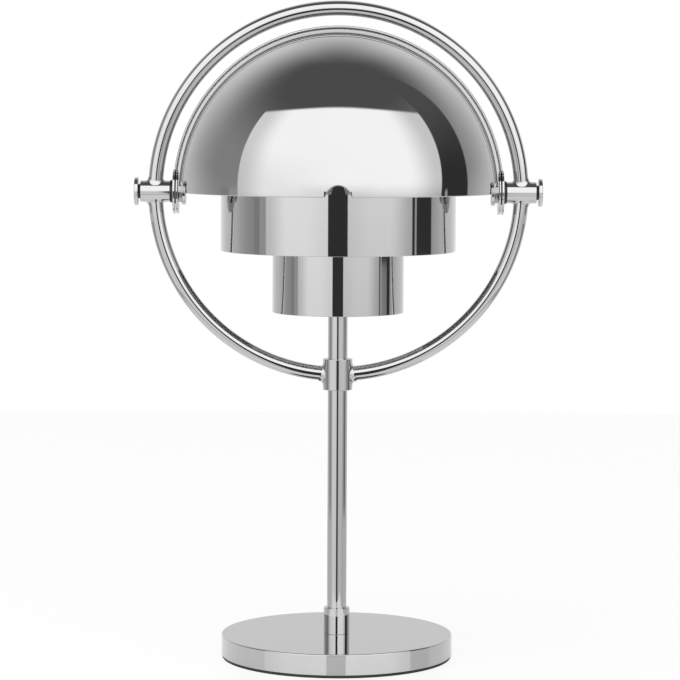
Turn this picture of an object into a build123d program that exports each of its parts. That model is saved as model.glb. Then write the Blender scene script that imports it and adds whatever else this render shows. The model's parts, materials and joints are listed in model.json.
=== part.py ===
from build123d import *
from math import asin, cos, degrees, radians, sin, sqrt
import os

# Cordless table lamp: a round weighted base, a slim stem, a ring of bent tube, two quarter-sphere
# shades that turn on pivot bolts in the ring, and two open cylinders round the light.
# Millimetres. The origin is on the floor under the stem, +Z is up, +X runs along the pivot
# bolts, and the front of the lamp looks towards -Y.

# Fits and clearances
fit_gap = 0.05               # radial play of a shaft, plug or tube in its hole
running_gap = 0.05           # play on each face of a turning ear
seat_gap = 0.1               # play round a part that is laid in a pocket
edge_break = 0.4             # small chamfer on turned parts
overrun = 1.0                # how far a cutting shape runs past what it cuts
weld = 0.1                   # how far two joined shapes run into each other

# Base
base_radius = 62.8
base_height = 12.7           # floor to the top face, foot pad included
foot_pad_thickness = 1.6
foot_pad_inset = 0.4
base_wall = 2.2
base_top_thickness = 2.0
base_edge_round = 0.7
base_cover_thickness = 1.0
cover_screw_count = 4
cover_screw_radius = 1.2
cover_screw_end_gap = 2.6    # from the screw's tip to the top wall
cover_boss_radius = 3.4
cover_boss_inset = 7.8       # boss axis in from the base's outer wall
boss_clearance = 0.4

# What lies inside the base
stem_nut_width = 2.2         # radial width of the nut round the stem's thread
stem_nut_height = 2.4
stem_washer_width = 4.2
stem_washer_thickness = 0.8
well_clearance = 3.0         # room round the stem's washer
well_wall = 3.5
battery_boss_gap = 5.5       # from a cell's end to the cover bosses
battery_rim_gap = 2.3
battery_head_room = 0.85
board_thickness = 1.0
board_front_margin = 1.0
board_head_margin = 2.0      # from the cells' ends to the wide part of the board
board_right_margin = 10.5    # board beside the charging socket
board_left_margin = 6.0      # board beside the button's switch
board_rim_gap = 2.4
board_ledge_width = 3.6
board_screw_radius = 0.9
board_screw_head_radius = 1.7
board_screw_head_height = 0.4
board_screw_bite = 2.4
board_screw_setback = 8.0    # screws in front of the wide part of the board
connector_size = 6.0
connector_gap = 0.2          # between the stem's lower end and the lead's connector

# Charging socket and dimmer button at the back of the base
port_width = 8.94
port_height = 3.26
port_depth = 7.35
port_shell = 0.35
port_back_wall = 1.2
port_tongue_width = 6.6
port_tongue_thickness = 0.7
port_tongue_depth = 5.0
port_inset = 0.5             # mouth of the socket in from the base wall
button_swing = 22.0          # angle from the socket to the button, seen from above
button_travel = 0.8
button_stand_out = 1.2
button_lip = 0.9             # flange that keeps the button in its hole
button_flange_thickness = 1.2
button_flange_gap = 0.2
button_stub_length = 1.4
button_stub_radius = 1.6
button_edge_round = 0.5
button_hole_clearance = 0.15
switch_depth = 3.4
switch_side_margin = 0.5     # the switch body is this much smaller than the flange
switch_plunger_radius = 1.2
switch_plunger_length = 0.6
switch_end_play = 0.1

# Stem
stem_radius = 5.3
stem_bore_radius = 3.0
stem_shoulder = 0.5          # step down to the threaded lower end
stem_top_drop = 38.0         # top of the stem below the pivots
collar_radius = 7.1
collar_height = 14.2
lead_radius = 2.0
lead_reach = 20.0            # length of lead inside the light's core
grub_screw_radius = 2.0
grub_screw_key = 2.0         # width across the flats of its socket
grub_screw_key_depth = 1.3
grub_screw_sunk = 0.3
grub_screw_dimple_depth = 0.5

# Ring and its fittings
pivot_height = 253.4
ring_tube_radius = 4.0
ring_tube_wall = 1.0
tube_stop = 0.7              # metal between a fitting's bore and the end of a ring tube
socket_wall = 2.7
socket_drop = 8.5            # socket below the ring's centre line
socket_clearance = 1.3       # between the socket's top corner and the shades
socket_screw_drop = 5.2      # grub screw below the ring's centre line
braze_reach = 2.6
braze_height = 1.3

# Shades and their pivots
back_shade_radius = 89.3
shade_sheet = 1.0
shade_gap = 0.8              # air between the two shades
ear_radius = 12.0
ear_thickness = 1.2
ear_set = 0.3                # outer face of an ear in from the top of the sphere
ear_lap = 1.0                # overlap of an ear with the shell
notch_clearance = 0.7
notch_corner = 1.7
pivot_bolt_radius = 3.0
barrel_step = 1.75           # barrel radius over tube radius
barrel_length = 16.2
outer_washer_width = 3.1     # radial widths of the parts on a pivot bolt
middle_washer_width = 3.6
pivot_nut_width = 2.0
inner_cap_width = 4.2
outer_cap_width = 4.5
outer_cap_neck_width = 0.85
outer_washer_thickness = 1.5
pivot_nut_thickness = 1.6
inner_cap_thickness = 2.1
inner_cap_skin = 0.7
outer_cap_thickness = 2.2
outer_cap_neck_length = 1.0

# Cylinders round the light
cylinder_wall = 0.8
wide_height = 63.2
wide_cap_clearance = 18.9    # from the inner caps to the wide cylinder
narrow_radius = 35.45
narrow_end_clearance = 12.5  # from the narrow cylinder's corner to the front shade

# Light and its carrier
flange_lip = 2.0             # carrier flange beyond the diffuser
flange_thickness = 3.0
hub_wall = 2.7
hub_grip = 12.0              # length of stem held in the hub
hub_shoulder = 1.0
arm_count = 3
arm_width = 9.0
arm_tab_thickness = 2.2
arm_tab_margin = 5.5         # tab above the screw's axis
spacer_radius = 3.0
spacer_rise = 9.0            # spacer axis above the flange
spacer_screw_radius = 1.5
spacer_screw_head_radius = 2.8
spacer_screw_head_height = 1.4
spacer_screw_bite = 8.0
screw_hole_spare = 0.5       # blind hole beyond the tip of a screw
core_flats = 20.0
core_height = 56.0
core_bore_radius = 2.6
core_stud_radius = 2.5
led_board_width = 8.0
led_board_thickness = 1.0
led_board_margin = 4.0
led_chip_size = 3.0
led_chip_height = 0.6
led_chips_per_board = 6
diffuser_radius = 20.0
diffuser_wall = 1.6
diffuser_crown = 8.0         # height of the domed end
diffuser_head_room = 6.0
finial_radius = 4.5
finial_height = 4.0
finial_skin = 1.0

# Levels and radii inside the base
cover_bottom = foot_pad_thickness
cover_top = cover_bottom + base_cover_thickness
inside_bottom = cover_top + fit_gap
inside_top = base_height - base_top_thickness
inside_radius = base_radius - base_wall
cover_boss_circle = base_radius - cover_boss_inset
cover_screw_head_radius = cover_screw_radius + base_cover_thickness
cover_screw_tip = inside_top - cover_screw_end_gap
stem_thread_radius = stem_radius - stem_shoulder
stem_nut_radius = stem_thread_radius + stem_nut_width
stem_washer_radius = stem_thread_radius + stem_washer_width
washer_bottom = inside_top - stem_washer_thickness
nut_bottom = washer_bottom - stem_nut_height
stem_bottom = nut_bottom - seat_gap
well_radius = stem_washer_radius + well_clearance
control_height = (cover_bottom + base_height) / 2
board_top = control_height - port_height / 2
board_bottom = board_top - board_thickness
connector_top = stem_bottom - connector_gap
button_flange_radius = inside_top - control_height - fit_gap
button_radius = button_flange_radius - button_lip
button_flange_end = inside_radius - button_flange_gap
button_flange_start = button_flange_end - button_flange_thickness
button_back = button_flange_start - button_stub_length
switch_tip = button_back - button_travel - switch_end_play
switch_face = switch_tip - switch_plunger_length

# Outlines of the cells and the board, from the room that the base leaves
boss_offset = cover_boss_circle * sin(radians(45))
battery_start = well_radius + well_wall
battery_half_length = boss_offset - cover_boss_radius - battery_boss_gap
battery_end = sqrt((inside_radius - battery_rim_gap) ** 2 - battery_half_length ** 2)
battery_top = inside_top - battery_head_room
board_reach = inside_radius - board_rim_gap
board_head_start = battery_half_length + board_head_margin
board_left = -board_reach * sin(radians(button_swing)) - board_left_margin
board_right = port_width / 2 + board_right_margin
board_screw_x = well_radius - board_ledge_width / 2
board_screw_y = board_head_start - board_screw_setback

# Distances from the lamp's axis along the pivots
front_shade_radius = back_shade_radius - shade_sheet - shade_gap
back_ear_face = back_shade_radius - ear_set
front_ear_face = front_shade_radius - ear_set
barrel_inner_end = back_ear_face + running_gap + outer_washer_thickness
barrel_outer_end = barrel_inner_end + barrel_length
barrel_radius = ring_tube_radius + barrel_step
outer_cap_start = barrel_outer_end + outer_cap_neck_length
pivot_nut_end = front_ear_face - ear_thickness - running_gap
pivot_nut_start = pivot_nut_end - pivot_nut_thickness
inner_cap_start = pivot_nut_start - inner_cap_thickness
pivot_bolt_end = inner_cap_start + inner_cap_skin + seat_gap

# Ring and the angles at which its tubes end inside their fittings
ring_radius = barrel_inner_end + barrel_length / 2
socket_middle = pivot_height - ring_radius
socket_radius = stem_radius + socket_wall
socket_top = pivot_height - sqrt((back_shade_radius + socket_clearance) ** 2 - socket_radius ** 2)
barrel_tube_angle = degrees(asin((pivot_bolt_radius + tube_stop) / ring_radius))
socket_tube_angle = degrees(asin((stem_radius + tube_stop) / ring_radius))
barrel_braze_angle = degrees(asin(sqrt(barrel_radius ** 2 - ring_tube_radius ** 2) / ring_radius))
socket_braze_angle = degrees(asin(sqrt(socket_radius ** 2 - ring_tube_radius ** 2) / ring_radius))

# Cylinders, carrier and light
wide_radius = inner_cap_start - wide_cap_clearance
wide_inside = wide_radius - cylinder_wall
narrow_reach = front_shade_radius - shade_sheet - narrow_end_clearance
narrow_height = 2 * sqrt(narrow_reach ** 2 - narrow_radius ** 2)
narrow_inside = narrow_radius - cylinder_wall
stem_top = pivot_height - stem_top_drop
hub_bottom = stem_top - hub_grip
hub_radius = stem_radius + hub_wall
flange_bottom = stem_top + hub_shoulder
flange_top = flange_bottom + flange_thickness
flange_radius = diffuser_radius + flange_lip
spacer_height = flange_top + spacer_rise
arm_tip = narrow_inside - fit_gap
arm_tab_face = arm_tip - arm_tab_thickness
lead_top = flange_top + lead_reach
core_top = flange_top + core_height
diffuser_top = core_top + diffuser_head_room
core_stud_top = diffuser_top + finial_height - finial_skin


# Shapes
def round_bar(radius, low, high):
    """Round bar along Z between two heights."""
    return Pos(0, 0, (low + high) / 2) * Cylinder(radius, high - low)


def through_hole(radius, low, high):
    """Cutter for a round hole along Z, run past both heights."""
    return round_bar(radius, low - overrun, high + overrun)


def round_tube(outer, inner, low, high):
    """Round tube along Z between two heights."""
    return round_bar(outer, low, high) - through_hole(inner, low, high)


def turned_disc(radius, low, high):
    """Round bar along Z with both outer edges chamfered."""
    bar = round_bar(radius, low, high)
    return chamfer(bar.edges().filter_by(GeomType.CIRCLE), min(edge_break, (high - low) / 3))


def hexagon_bar(half_flats, low, high):
    """Hexagonal bar along Z between two heights."""
    return Pos(0, 0, low) * extrude(RegularPolygon(half_flats, 6, major_radius=False), high - low)


def block(x, y, z):
    """Rectangular block from its limits along each axis."""
    middle = Pos((x[0] + x[1]) / 2, (y[0] + y[1]) / 2, (z[0] + z[1]) / 2)
    return middle * Box(x[1] - x[0], y[1] - y[0], z[1] - z[0])


def turned(points):
    """Solid of revolution about Z of a closed outline of (radius, height) points."""
    outline = Polyline(*[(radius, 0, height) for radius, height in points], close=True)
    return revolve(make_face(outline), Axis.Z, 360)


def outwards(part):
    """Turns a part made along Z so that it runs along +X."""
    return Rot(0, 90, 0) * part


def at_back(part, height, swing=0.0):
    """Swings a part made along +X to the lamp's back, and a further angle from there."""
    return Pos(0, 0, height) * Rot(0, 0, 90 + swing) * part


def on_pivot(side, part):
    """Places a part made along Z, with its height as the distance from the lamp's axis."""
    return Pos(0, 0, pivot_height) * Rot(0, 90 * side, 0) * part


def ring_rod(start, end, radius):
    """Round rod along the ring's centre line between two angles, 0 at +X and 90 at the top."""
    section = Plane.XY * Pos(ring_radius, 0, 0) * Circle(radius)
    rod = revolve(section, Axis((0, 0, 0), (0, -1, 0)), end - start)
    return Pos(0, 0, pivot_height) * Rot(0, -start, 0) * rod


def ring_tube(start, end):
    """Length of the ring's bent tube between two angles."""
    bore = ring_rod(start - overrun, end + overrun, ring_tube_radius - ring_tube_wall)
    return ring_rod(start, end, ring_tube_radius) - bore


def ring_pocket(start, end):
    """Hole that an end of the ring's tube is let into."""
    return ring_rod(start, end, ring_tube_radius + fit_gap)


def braze(angle, away):
    """Fillet of braze round the tube where it leaves a fitting, tapering the given way."""
    cone = Cone(ring_tube_radius + braze_height, ring_tube_radius + edge_break, braze_reach + overrun)
    cone = Pos(0, 0, (braze_reach - overrun) / 2) * cone
    turn = 0 if away > 0 else 180
    on_tube = Pos(ring_radius, 0, 0) * Rot(turn, 0, 0) * cone
    return Pos(0, 0, pivot_height) * Rot(0, -angle, 0) * on_tube


# Foot pad, cover and shell of the base
def boss_places():
    """Places of the cover's screws, evenly round the base and clear of the cells."""
    turns = [45 + 360 / cover_screw_count * i for i in range(cover_screw_count)]
    return [Rot(0, 0, turn) * Pos(cover_boss_circle, 0, 0) for turn in turns]


def make_foot_pad():
    return turned_disc(base_radius - foot_pad_inset, 0, foot_pad_thickness)


def make_cover_screws():
    screw = turned([
        (0, cover_bottom),
        (cover_screw_head_radius, cover_bottom),
        (cover_screw_radius, cover_top),
        (cover_screw_radius, cover_screw_tip),
        (0, cover_screw_tip),
    ])
    return [place * screw for place in boss_places()]


def make_base_cover():
    mouth = cover_screw_head_radius + fit_gap
    throat = cover_screw_radius + fit_gap
    sink = turned([
        (0, cover_bottom - overrun),
        (mouth + overrun, cover_bottom - overrun),
        (throat, cover_top),
        (throat, cover_top + overrun),
        (0, cover_top + overrun),
    ])
    cover = round_bar(inside_radius - seat_gap, cover_bottom, cover_top)
    for place in boss_places():
        cover -= place * sink
    return cover


def port_bar(margin, start, end):
    """Flattened round bar at the back of the base, as wide as the socket and a margin."""
    width = port_width + 2 * margin
    height = port_height + 2 * margin
    outline = Plane.YZ * SlotOverall(width, height)
    return at_back(Pos(start, 0, 0) * extrude(outline, end - start), control_height)


def button_bar(radius, start, end):
    return at_back(outwards(round_bar(radius, start, end)), control_height, button_swing)


def make_base_shell():
    shell = round_bar(base_radius, cover_bottom, base_height)
    top_edge = shell.edges().filter_by(GeomType.CIRCLE).group_by(Axis.Z)[-1]
    shell = fillet(top_edge, min(base_edge_round, base_wall / 2))
    shell -= round_bar(inside_radius, cover_bottom - overrun, inside_top)
    for place in boss_places():
        shell += place * round_bar(cover_boss_radius, inside_bottom, inside_top + weld)
    screw_hole = round_bar(cover_screw_radius + fit_gap, cover_bottom, cover_screw_tip + screw_hole_spare)
    for place in boss_places():
        shell -= place * screw_hole
    shell -= through_hole(stem_thread_radius + fit_gap, inside_top, base_height)
    shell -= port_bar(fit_gap, inside_radius - overrun, base_radius + overrun)
    button_room = button_radius + button_hole_clearance
    shell -= button_bar(button_room, inside_radius - overrun, base_radius + overrun)
    return shell


# Weight, cells and board inside the base
def battery_room(side, margin):
    near = battery_start - margin
    far = battery_end + margin
    x = (near, far) if side > 0 else (-far, -near)
    half = battery_half_length + margin
    return block(x, (-half, half), (inside_bottom, battery_top))


def make_battery_cells():
    cells = [battery_room(side, 0) for side in (-1, 1)]
    edge_round = (battery_top - inside_bottom) / 5
    return [fillet(cell.edges().filter_by(Axis.Y), edge_round) for cell in cells]


def board_room(margin, low, high):
    """Outline of the control board: a strip under the stem and a wide part at the back."""
    half = well_radius + margin
    front = -well_radius - board_front_margin - margin
    strip = block((-half, half), (front, board_head_start + weld), (low, high))
    sides = (board_left - margin, board_right + margin)
    head = block(sides, (board_head_start - margin, board_reach), (low, high))
    return (strip + head) & round_bar(board_reach + margin, low, high)


def board_screw_places():
    return [Pos(board_screw_x * side, board_screw_y, 0) for side in (-1, 1)]


def make_control_board():
    board = board_room(0, board_bottom, board_top)
    for place in board_screw_places():
        board -= place * through_hole(board_screw_radius + fit_gap, board_bottom, board_top)
    return board


def make_board_screws():
    head = round_bar(board_screw_head_radius, board_bottom - board_screw_head_height, board_bottom)
    screw = head + round_bar(board_screw_radius, board_bottom - weld, board_top + board_screw_bite)
    return [place * screw for place in board_screw_places()]


def make_base_weight():
    weight = round_bar(inside_radius - seat_gap, inside_bottom, inside_top)
    weight -= through_hole(well_radius, inside_bottom, inside_top)
    for side in (-1, 1):
        cell = battery_room(side, seat_gap)
        weight -= cell
        weight -= Pos(0, 0, -overrun) * cell
        weight -= Pos(0, 0, seat_gap) * cell
    # The board lies against two ledges, beside a channel for the parts on it
    weight -= board_room(seat_gap, inside_bottom - overrun, board_top)
    channel = well_radius - board_ledge_width
    height = (inside_bottom - overrun, inside_top + overrun)
    weight -= block((-channel, channel), (-well_radius, board_head_start + overrun), height)
    weight -= block((board_left, board_right), (board_head_start, base_radius), height)
    for place in boss_places():
        weight -= place * through_hole(cover_boss_radius + boss_clearance, inside_bottom, inside_top)
    hole_end = board_top + board_screw_bite + seat_gap
    screw_hole = round_bar(board_screw_radius + fit_gap, board_bottom, hole_end)
    for place in board_screw_places():
        weight -= place * screw_hole
    return weight


def make_lead_connector():
    half = connector_size / 2
    return block((-half, half), (-half, half), (board_top, connector_top))


# Charging socket, button and its switch
def make_charging_socket():
    mouth = base_radius - port_inset
    back = mouth - port_depth
    floor = back + port_back_wall
    socket = port_bar(0, back, mouth) - port_bar(-port_shell, floor, mouth + overrun)
    half_width = port_tongue_width / 2
    half_height = port_tongue_thickness / 2
    length = (floor - weld, floor + port_tongue_depth)
    tongue = block(length, (-half_width, half_width), (-half_height, half_height))
    return socket + at_back(tongue, control_height)


def make_button_switch():
    half = button_flange_radius - switch_side_margin
    length = (switch_face - switch_depth, switch_face)
    body = block(length, (-half, half), (-port_height / 2, half))
    plunger = button_bar(switch_plunger_radius, switch_face - weld, switch_tip)
    return at_back(body, control_height, button_swing) + plunger


def make_dimmer_button():
    cap = round_bar(button_radius, button_flange_start, base_radius + button_stand_out)
    cap = fillet(cap.edges().filter_by(GeomType.CIRCLE).group_by(Axis.Z)[-1], button_edge_round)
    flange = round_bar(button_flange_radius, button_flange_start, button_flange_end)
    stub = round_bar(button_stub_radius, button_back, button_flange_start + weld)
    return at_back(outwards(cap + flange + stub), control_height, button_swing)


# Stem
def grub_bar(height, start, end, margin=0.0):
    """Round bar from the back towards the stem, for a grub screw or its hole."""
    return at_back(outwards(round_bar(grub_screw_radius + margin, start, end)), height)


def grub_hole(height, end):
    """Cutter for a grub screw's hole, from its dimple in the stem outwards."""
    return grub_bar(height, stem_radius - grub_screw_dimple_depth, end, fit_gap)


def make_grub_screw(height, outer):
    tip = stem_radius - grub_screw_dimple_depth + fit_gap
    screw = grub_bar(height, tip, outer - grub_screw_sunk)
    key = hexagon_bar(grub_screw_key / 2, outer - grub_screw_sunk - grub_screw_key_depth, outer)
    return screw - at_back(outwards(key), height)


def make_stem_tube():
    stem = round_bar(stem_radius, base_height, stem_top)
    stem += round_bar(stem_thread_radius, stem_bottom, base_height + weld)
    stem -= through_hole(stem_bore_radius, stem_bottom, stem_top)
    for height in (socket_middle - socket_screw_drop, stem_top - hub_grip / 2):
        stem -= grub_hole(height, stem_radius + overrun)
    return stem


def make_stem_washer():
    return round_tube(stem_washer_radius, stem_thread_radius + fit_gap, washer_bottom, inside_top)


def make_stem_nut():
    hole = through_hole(stem_thread_radius + fit_gap, nut_bottom, washer_bottom)
    return hexagon_bar(stem_nut_radius, nut_bottom, washer_bottom) - hole


def make_stem_collar():
    top = base_height + collar_height
    hole = through_hole(stem_radius + fit_gap, base_height, top)
    return turned_disc(collar_radius, base_height, top) - hole


def make_stem_lead():
    return round_bar(lead_radius, connector_top, lead_top)


# Fittings of the ring
def make_ring_socket():
    low = socket_middle - socket_drop
    socket = turned_disc(socket_radius, low, socket_top)
    for side in (-1, 1):
        socket += braze(270 + side * socket_braze_angle, side)
    socket -= through_hole(stem_radius + fit_gap, low, socket_top)
    socket -= ring_pocket(270 + socket_tube_angle, 270 + 4 * socket_tube_angle)
    socket -= ring_pocket(270 - 4 * socket_tube_angle, 270 - socket_tube_angle)
    socket -= grub_hole(socket_middle - socket_screw_drop, socket_radius + overrun)
    return socket


def make_pivot_barrel(side):
    barrel = on_pivot(side, turned_disc(barrel_radius, barrel_inner_end, barrel_outer_end))
    middle = 0 if side > 0 else 180
    for way in (-1, 1):
        barrel += braze(middle + way * barrel_braze_angle, way)
    barrel -= on_pivot(side, through_hole(pivot_bolt_radius + fit_gap, barrel_inner_end, barrel_outer_end))
    barrel -= ring_pocket(middle + barrel_tube_angle, middle + 5 * barrel_tube_angle)
    barrel -= ring_pocket(middle - 5 * barrel_tube_angle, middle - barrel_tube_angle)
    return barrel


# Parts on the pivot bolts, from outside to inside
def make_pivot_bolt(side):
    cap_end = outer_cap_start + outer_cap_thickness
    bolt = turned_disc(pivot_bolt_radius + outer_cap_width, outer_cap_start, cap_end)
    bolt += round_bar(pivot_bolt_radius + outer_cap_neck_width, barrel_outer_end, outer_cap_start + weld)
    bolt += round_bar(pivot_bolt_radius, pivot_bolt_end, outer_cap_start)
    return on_pivot(side, bolt)


def pivot_washer(side, width, start, end):
    return on_pivot(side, round_tube(pivot_bolt_radius + width, pivot_bolt_radius + fit_gap, start, end))


def make_outer_washer(side):
    return pivot_washer(side, outer_washer_width, back_ear_face + running_gap, barrel_inner_end)


def make_middle_washer(side):
    end = back_ear_face - ear_thickness - running_gap
    return pivot_washer(side, middle_washer_width, front_ear_face + running_gap, end)


def make_pivot_nut(side):
    nut = hexagon_bar(pivot_bolt_radius + pivot_nut_width, pivot_nut_start, pivot_nut_end)
    return on_pivot(side, nut - through_hole(pivot_bolt_radius + fit_gap, pivot_nut_start, pivot_nut_end))


def make_inner_cap(side):
    cap = turned_disc(pivot_bolt_radius + inner_cap_width, inner_cap_start, pivot_nut_start)
    bore_end = inner_cap_start + inner_cap_skin
    return on_pivot(side, cap - round_bar(pivot_bolt_radius + fit_gap, bore_end, pivot_nut_start + overrun))


# Shades
def notch_cutter(radius):
    """Arch for the stem in the middle of a shade's rim, with rounded lower corners."""
    half = stem_radius + notch_clearance
    foot = half + notch_corner
    bend = notch_corner * (1 - sqrt(0.5))
    outline = make_face([
        ThreePointArc((-half, notch_corner), (0, half), (half, notch_corner)),
        ThreePointArc((half, notch_corner), (half + bend, bend), (foot, 0)),
        Polyline((foot, 0), (foot, -overrun), (-foot, -overrun), (-foot, 0)),
        ThreePointArc((-foot, 0), (-half - bend, bend), (-half, notch_corner)),
    ])
    cutter = extrude(Plane.XZ * outline, radius + overrun)
    return cutter - block((-radius, radius), (-radius / 2, overrun), (-radius, radius))


def make_shade(radius, turn):
    """Quarter of a spherical shell, from a level rim up to the top, with two round ears."""
    inner = radius - shade_sheet
    start = ear_radius - ear_lap
    outer_end = sqrt(radius ** 2 - start ** 2)
    inner_end = sqrt(inner ** 2 - start ** 2)
    outline = make_face([
        ThreePointArc((outer_end, -start), (0, -radius), (-outer_end, -start)),
        Line((-outer_end, -start), (-inner_end, -start)),
        ThreePointArc((-inner_end, -start), (0, -inner), (inner_end, -start)),
        Line((inner_end, -start), (outer_end, -start)),
    ])
    shade = revolve(outline, Axis.X, -90)
    face = radius - ear_set
    ear = round_tube(ear_radius, pivot_bolt_radius + fit_gap, face - ear_thickness, face)
    for side in (-1, 1):
        shade += Rot(0, 90 * side, 0) * ear
    shade -= notch_cutter(radius)
    return Pos(0, 0, pivot_height) * Rot(0, 0, turn) * shade


# Cylinders and what carries them
def arm_places(height=0.0):
    return [Pos(0, 0, height) * Rot(0, 0, 90 + 360 / arm_count * i) for i in range(arm_count)]


def cross_bar(radius, start, end):
    return outwards(round_bar(radius, start, end))


def make_wide_cylinder():
    half = wide_height / 2
    return round_tube(wide_radius, wide_inside, pivot_height - half, pivot_height + half)


def make_narrow_cylinder():
    half = narrow_height / 2
    cylinder = round_tube(narrow_radius, narrow_inside, pivot_height - half, pivot_height + half)
    hole = cross_bar(spacer_screw_radius + fit_gap, narrow_inside - overrun, narrow_radius + overrun)
    for place in arm_places(spacer_height):
        cylinder -= place * hole
    return cylinder


def make_cylinder_spacers():
    between = round_tube(wide_inside, narrow_radius, -2 * spacer_radius, 2 * spacer_radius)
    spacer = cross_bar(spacer_radius, narrow_radius - overrun, wide_inside + overrun) & between
    hole_end = narrow_radius + spacer_screw_bite + screw_hole_spare
    spacer -= cross_bar(spacer_screw_radius + fit_gap, narrow_radius - overrun, hole_end)
    return [place * spacer for place in arm_places(spacer_height)]


def make_spacer_screws():
    seat = arm_tab_face - fit_gap
    screw = cross_bar(spacer_screw_head_radius, seat - spacer_screw_head_height, seat)
    screw += cross_bar(spacer_screw_radius, seat - weld, narrow_radius + spacer_screw_bite)
    return [place * screw for place in arm_places(spacer_height)]


def make_carrier_spider():
    spider = round_bar(flange_radius, flange_bottom, flange_top)
    spider += round_bar(hub_radius, hub_bottom, flange_bottom + weld)
    half = arm_width / 2
    tab_top = spacer_height + arm_tab_margin
    arm = block((flange_radius - overrun, arm_tip + overrun), (-half, half), (flange_bottom, flange_top))
    arm += block((arm_tab_face, arm_tip + overrun), (-half, half), (flange_bottom, tab_top))
    arm &= round_bar(arm_tip, flange_bottom, tab_top)
    for place in arm_places():
        spider += place * arm
    hole = cross_bar(spacer_screw_radius + fit_gap, arm_tab_face - overrun, arm_tip + overrun)
    for place in arm_places(spacer_height):
        spider -= place * hole
    spider -= round_bar(stem_radius + fit_gap, hub_bottom - overrun, stem_top)
    spider -= through_hole(stem_bore_radius, stem_top, flange_top)
    spider -= grub_hole(stem_top - hub_grip / 2, hub_radius + overrun)
    return spider


# Light
def make_led_core():
    core = hexagon_bar(core_flats / 2, flange_top, core_top)
    core += round_bar(core_stud_radius, core_top - weld, core_stud_top)
    return core - round_bar(core_bore_radius, flange_top - overrun, lead_top + seat_gap)


def make_led_boards():
    """Strips of light-emitting diodes, one on each flat of the core, each with its chips."""
    low = flange_top + led_board_margin
    high = core_top - led_board_margin
    face = core_flats / 2
    front = face + led_board_thickness
    half = led_board_width / 2
    board = block((face, front), (-half, half), (low, high))
    pitch = (high - low) / led_chips_per_board
    half = led_chip_size / 2
    for count in range(led_chips_per_board):
        middle = low + pitch * (count + 0.5)
        height = (middle - half, middle + half)
        board += block((front - weld, front + led_chip_height), (-half, half), height)
    return [Rot(0, 0, 30 + 60 * turn) * board for turn in range(6)]


def domed_bar(radius, crown, low, high):
    """Upright round bar whose top is a shallow spherical dome."""
    sphere = (radius ** 2 + crown ** 2) / (2 * crown)
    half_turn = asin(radius / sphere) / 2
    half_way = (sphere * sin(half_turn), 0, high - sphere + sphere * cos(half_turn))
    outline = make_face([
        Polyline((0, 0, high), (0, 0, low), (radius, 0, low), (radius, 0, high - crown)),
        ThreePointArc((radius, 0, high - crown), half_way, (0, 0, high)),
    ])
    return revolve(outline, Axis.Z, 360)


def make_diffuser():
    inside = diffuser_radius - diffuser_wall
    diffuser = domed_bar(diffuser_radius, diffuser_crown, flange_top, diffuser_top)
    diffuser -= domed_bar(inside, diffuser_crown, flange_top - overrun, diffuser_top - diffuser_wall)
    return diffuser - through_hole(core_stud_radius + fit_gap, core_top, diffuser_top)


def make_diffuser_finial():
    finial = turned_disc(finial_radius, diffuser_top, diffuser_top + finial_height)
    return finial - round_bar(core_stud_radius + fit_gap, diffuser_top - overrun, core_stud_top + seat_gap)


# Every piece by its name
nodes = {
    "foot_pad": make_foot_pad(),
    "base_cover": make_base_cover(),
    "cover_screws": make_cover_screws(),
    "base_shell": make_base_shell(),
    "base_weight": make_base_weight(),
    "battery_cells": make_battery_cells(),
    "control_board": make_control_board(),
    "board_screws": make_board_screws(),
    "lead_connector": make_lead_connector(),
    "charging_socket": make_charging_socket(),
    "button_switch": make_button_switch(),
    "dimmer_button": make_dimmer_button(),
    "stem_tube": make_stem_tube(),
    "stem_washer": make_stem_washer(),
    "stem_nut": make_stem_nut(),
    "stem_collar": make_stem_collar(),
    "stem_lead": make_stem_lead(),
    "ring_socket": make_ring_socket(),
    "socket_grub_screw": make_grub_screw(socket_middle - socket_screw_drop, socket_radius),
    "ring_upper_tube": ring_tube(barrel_tube_angle, 180 - barrel_tube_angle),
    "ring_left_tube": ring_tube(180 + barrel_tube_angle, 270 - socket_tube_angle),
    "ring_right_tube": ring_tube(270 + socket_tube_angle, 360 - barrel_tube_angle),
    "front_shade": make_shade(front_shade_radius, 0),
    "back_shade": make_shade(back_shade_radius, 180),
    "wide_cylinder": make_wide_cylinder(),
    "narrow_cylinder": make_narrow_cylinder(),
    "cylinder_spacers": make_cylinder_spacers(),
    "spacer_screws": make_spacer_screws(),
    "carrier_spider": make_carrier_spider(),
    "hub_grub_screw": make_grub_screw(stem_top - hub_grip / 2, hub_radius),
    "led_core": make_led_core(),
    "led_boards": make_led_boards(),
    "diffuser": make_diffuser(),
    "diffuser_finial": make_diffuser_finial(),
}
for name, side in (("left", -1), ("right", 1)):
    nodes[name + "_pivot_barrel"] = make_pivot_barrel(side)
    nodes[name + "_pivot_bolt"] = make_pivot_bolt(side)
    nodes[name + "_outer_washer"] = make_outer_washer(side)
    nodes[name + "_middle_washer"] = make_middle_washer(side)
    nodes[name + "_pivot_nut"] = make_pivot_nut(side)
    nodes[name + "_inner_cap"] = make_inner_cap(side)

os.makedirs("parts", exist_ok=True)
for name, shape in nodes.items():
    pieces = shape if isinstance(shape, list) else [shape]
    solids = [solid for piece in pieces for solid in piece.solids()]
    whole = solids[0] if len(solids) == 1 else Compound(children=solids)
    export_step(whole, "parts/" + name + ".step")
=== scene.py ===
import json
from math import acos, asin, atan2, cos, pi, radians, sin

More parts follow.
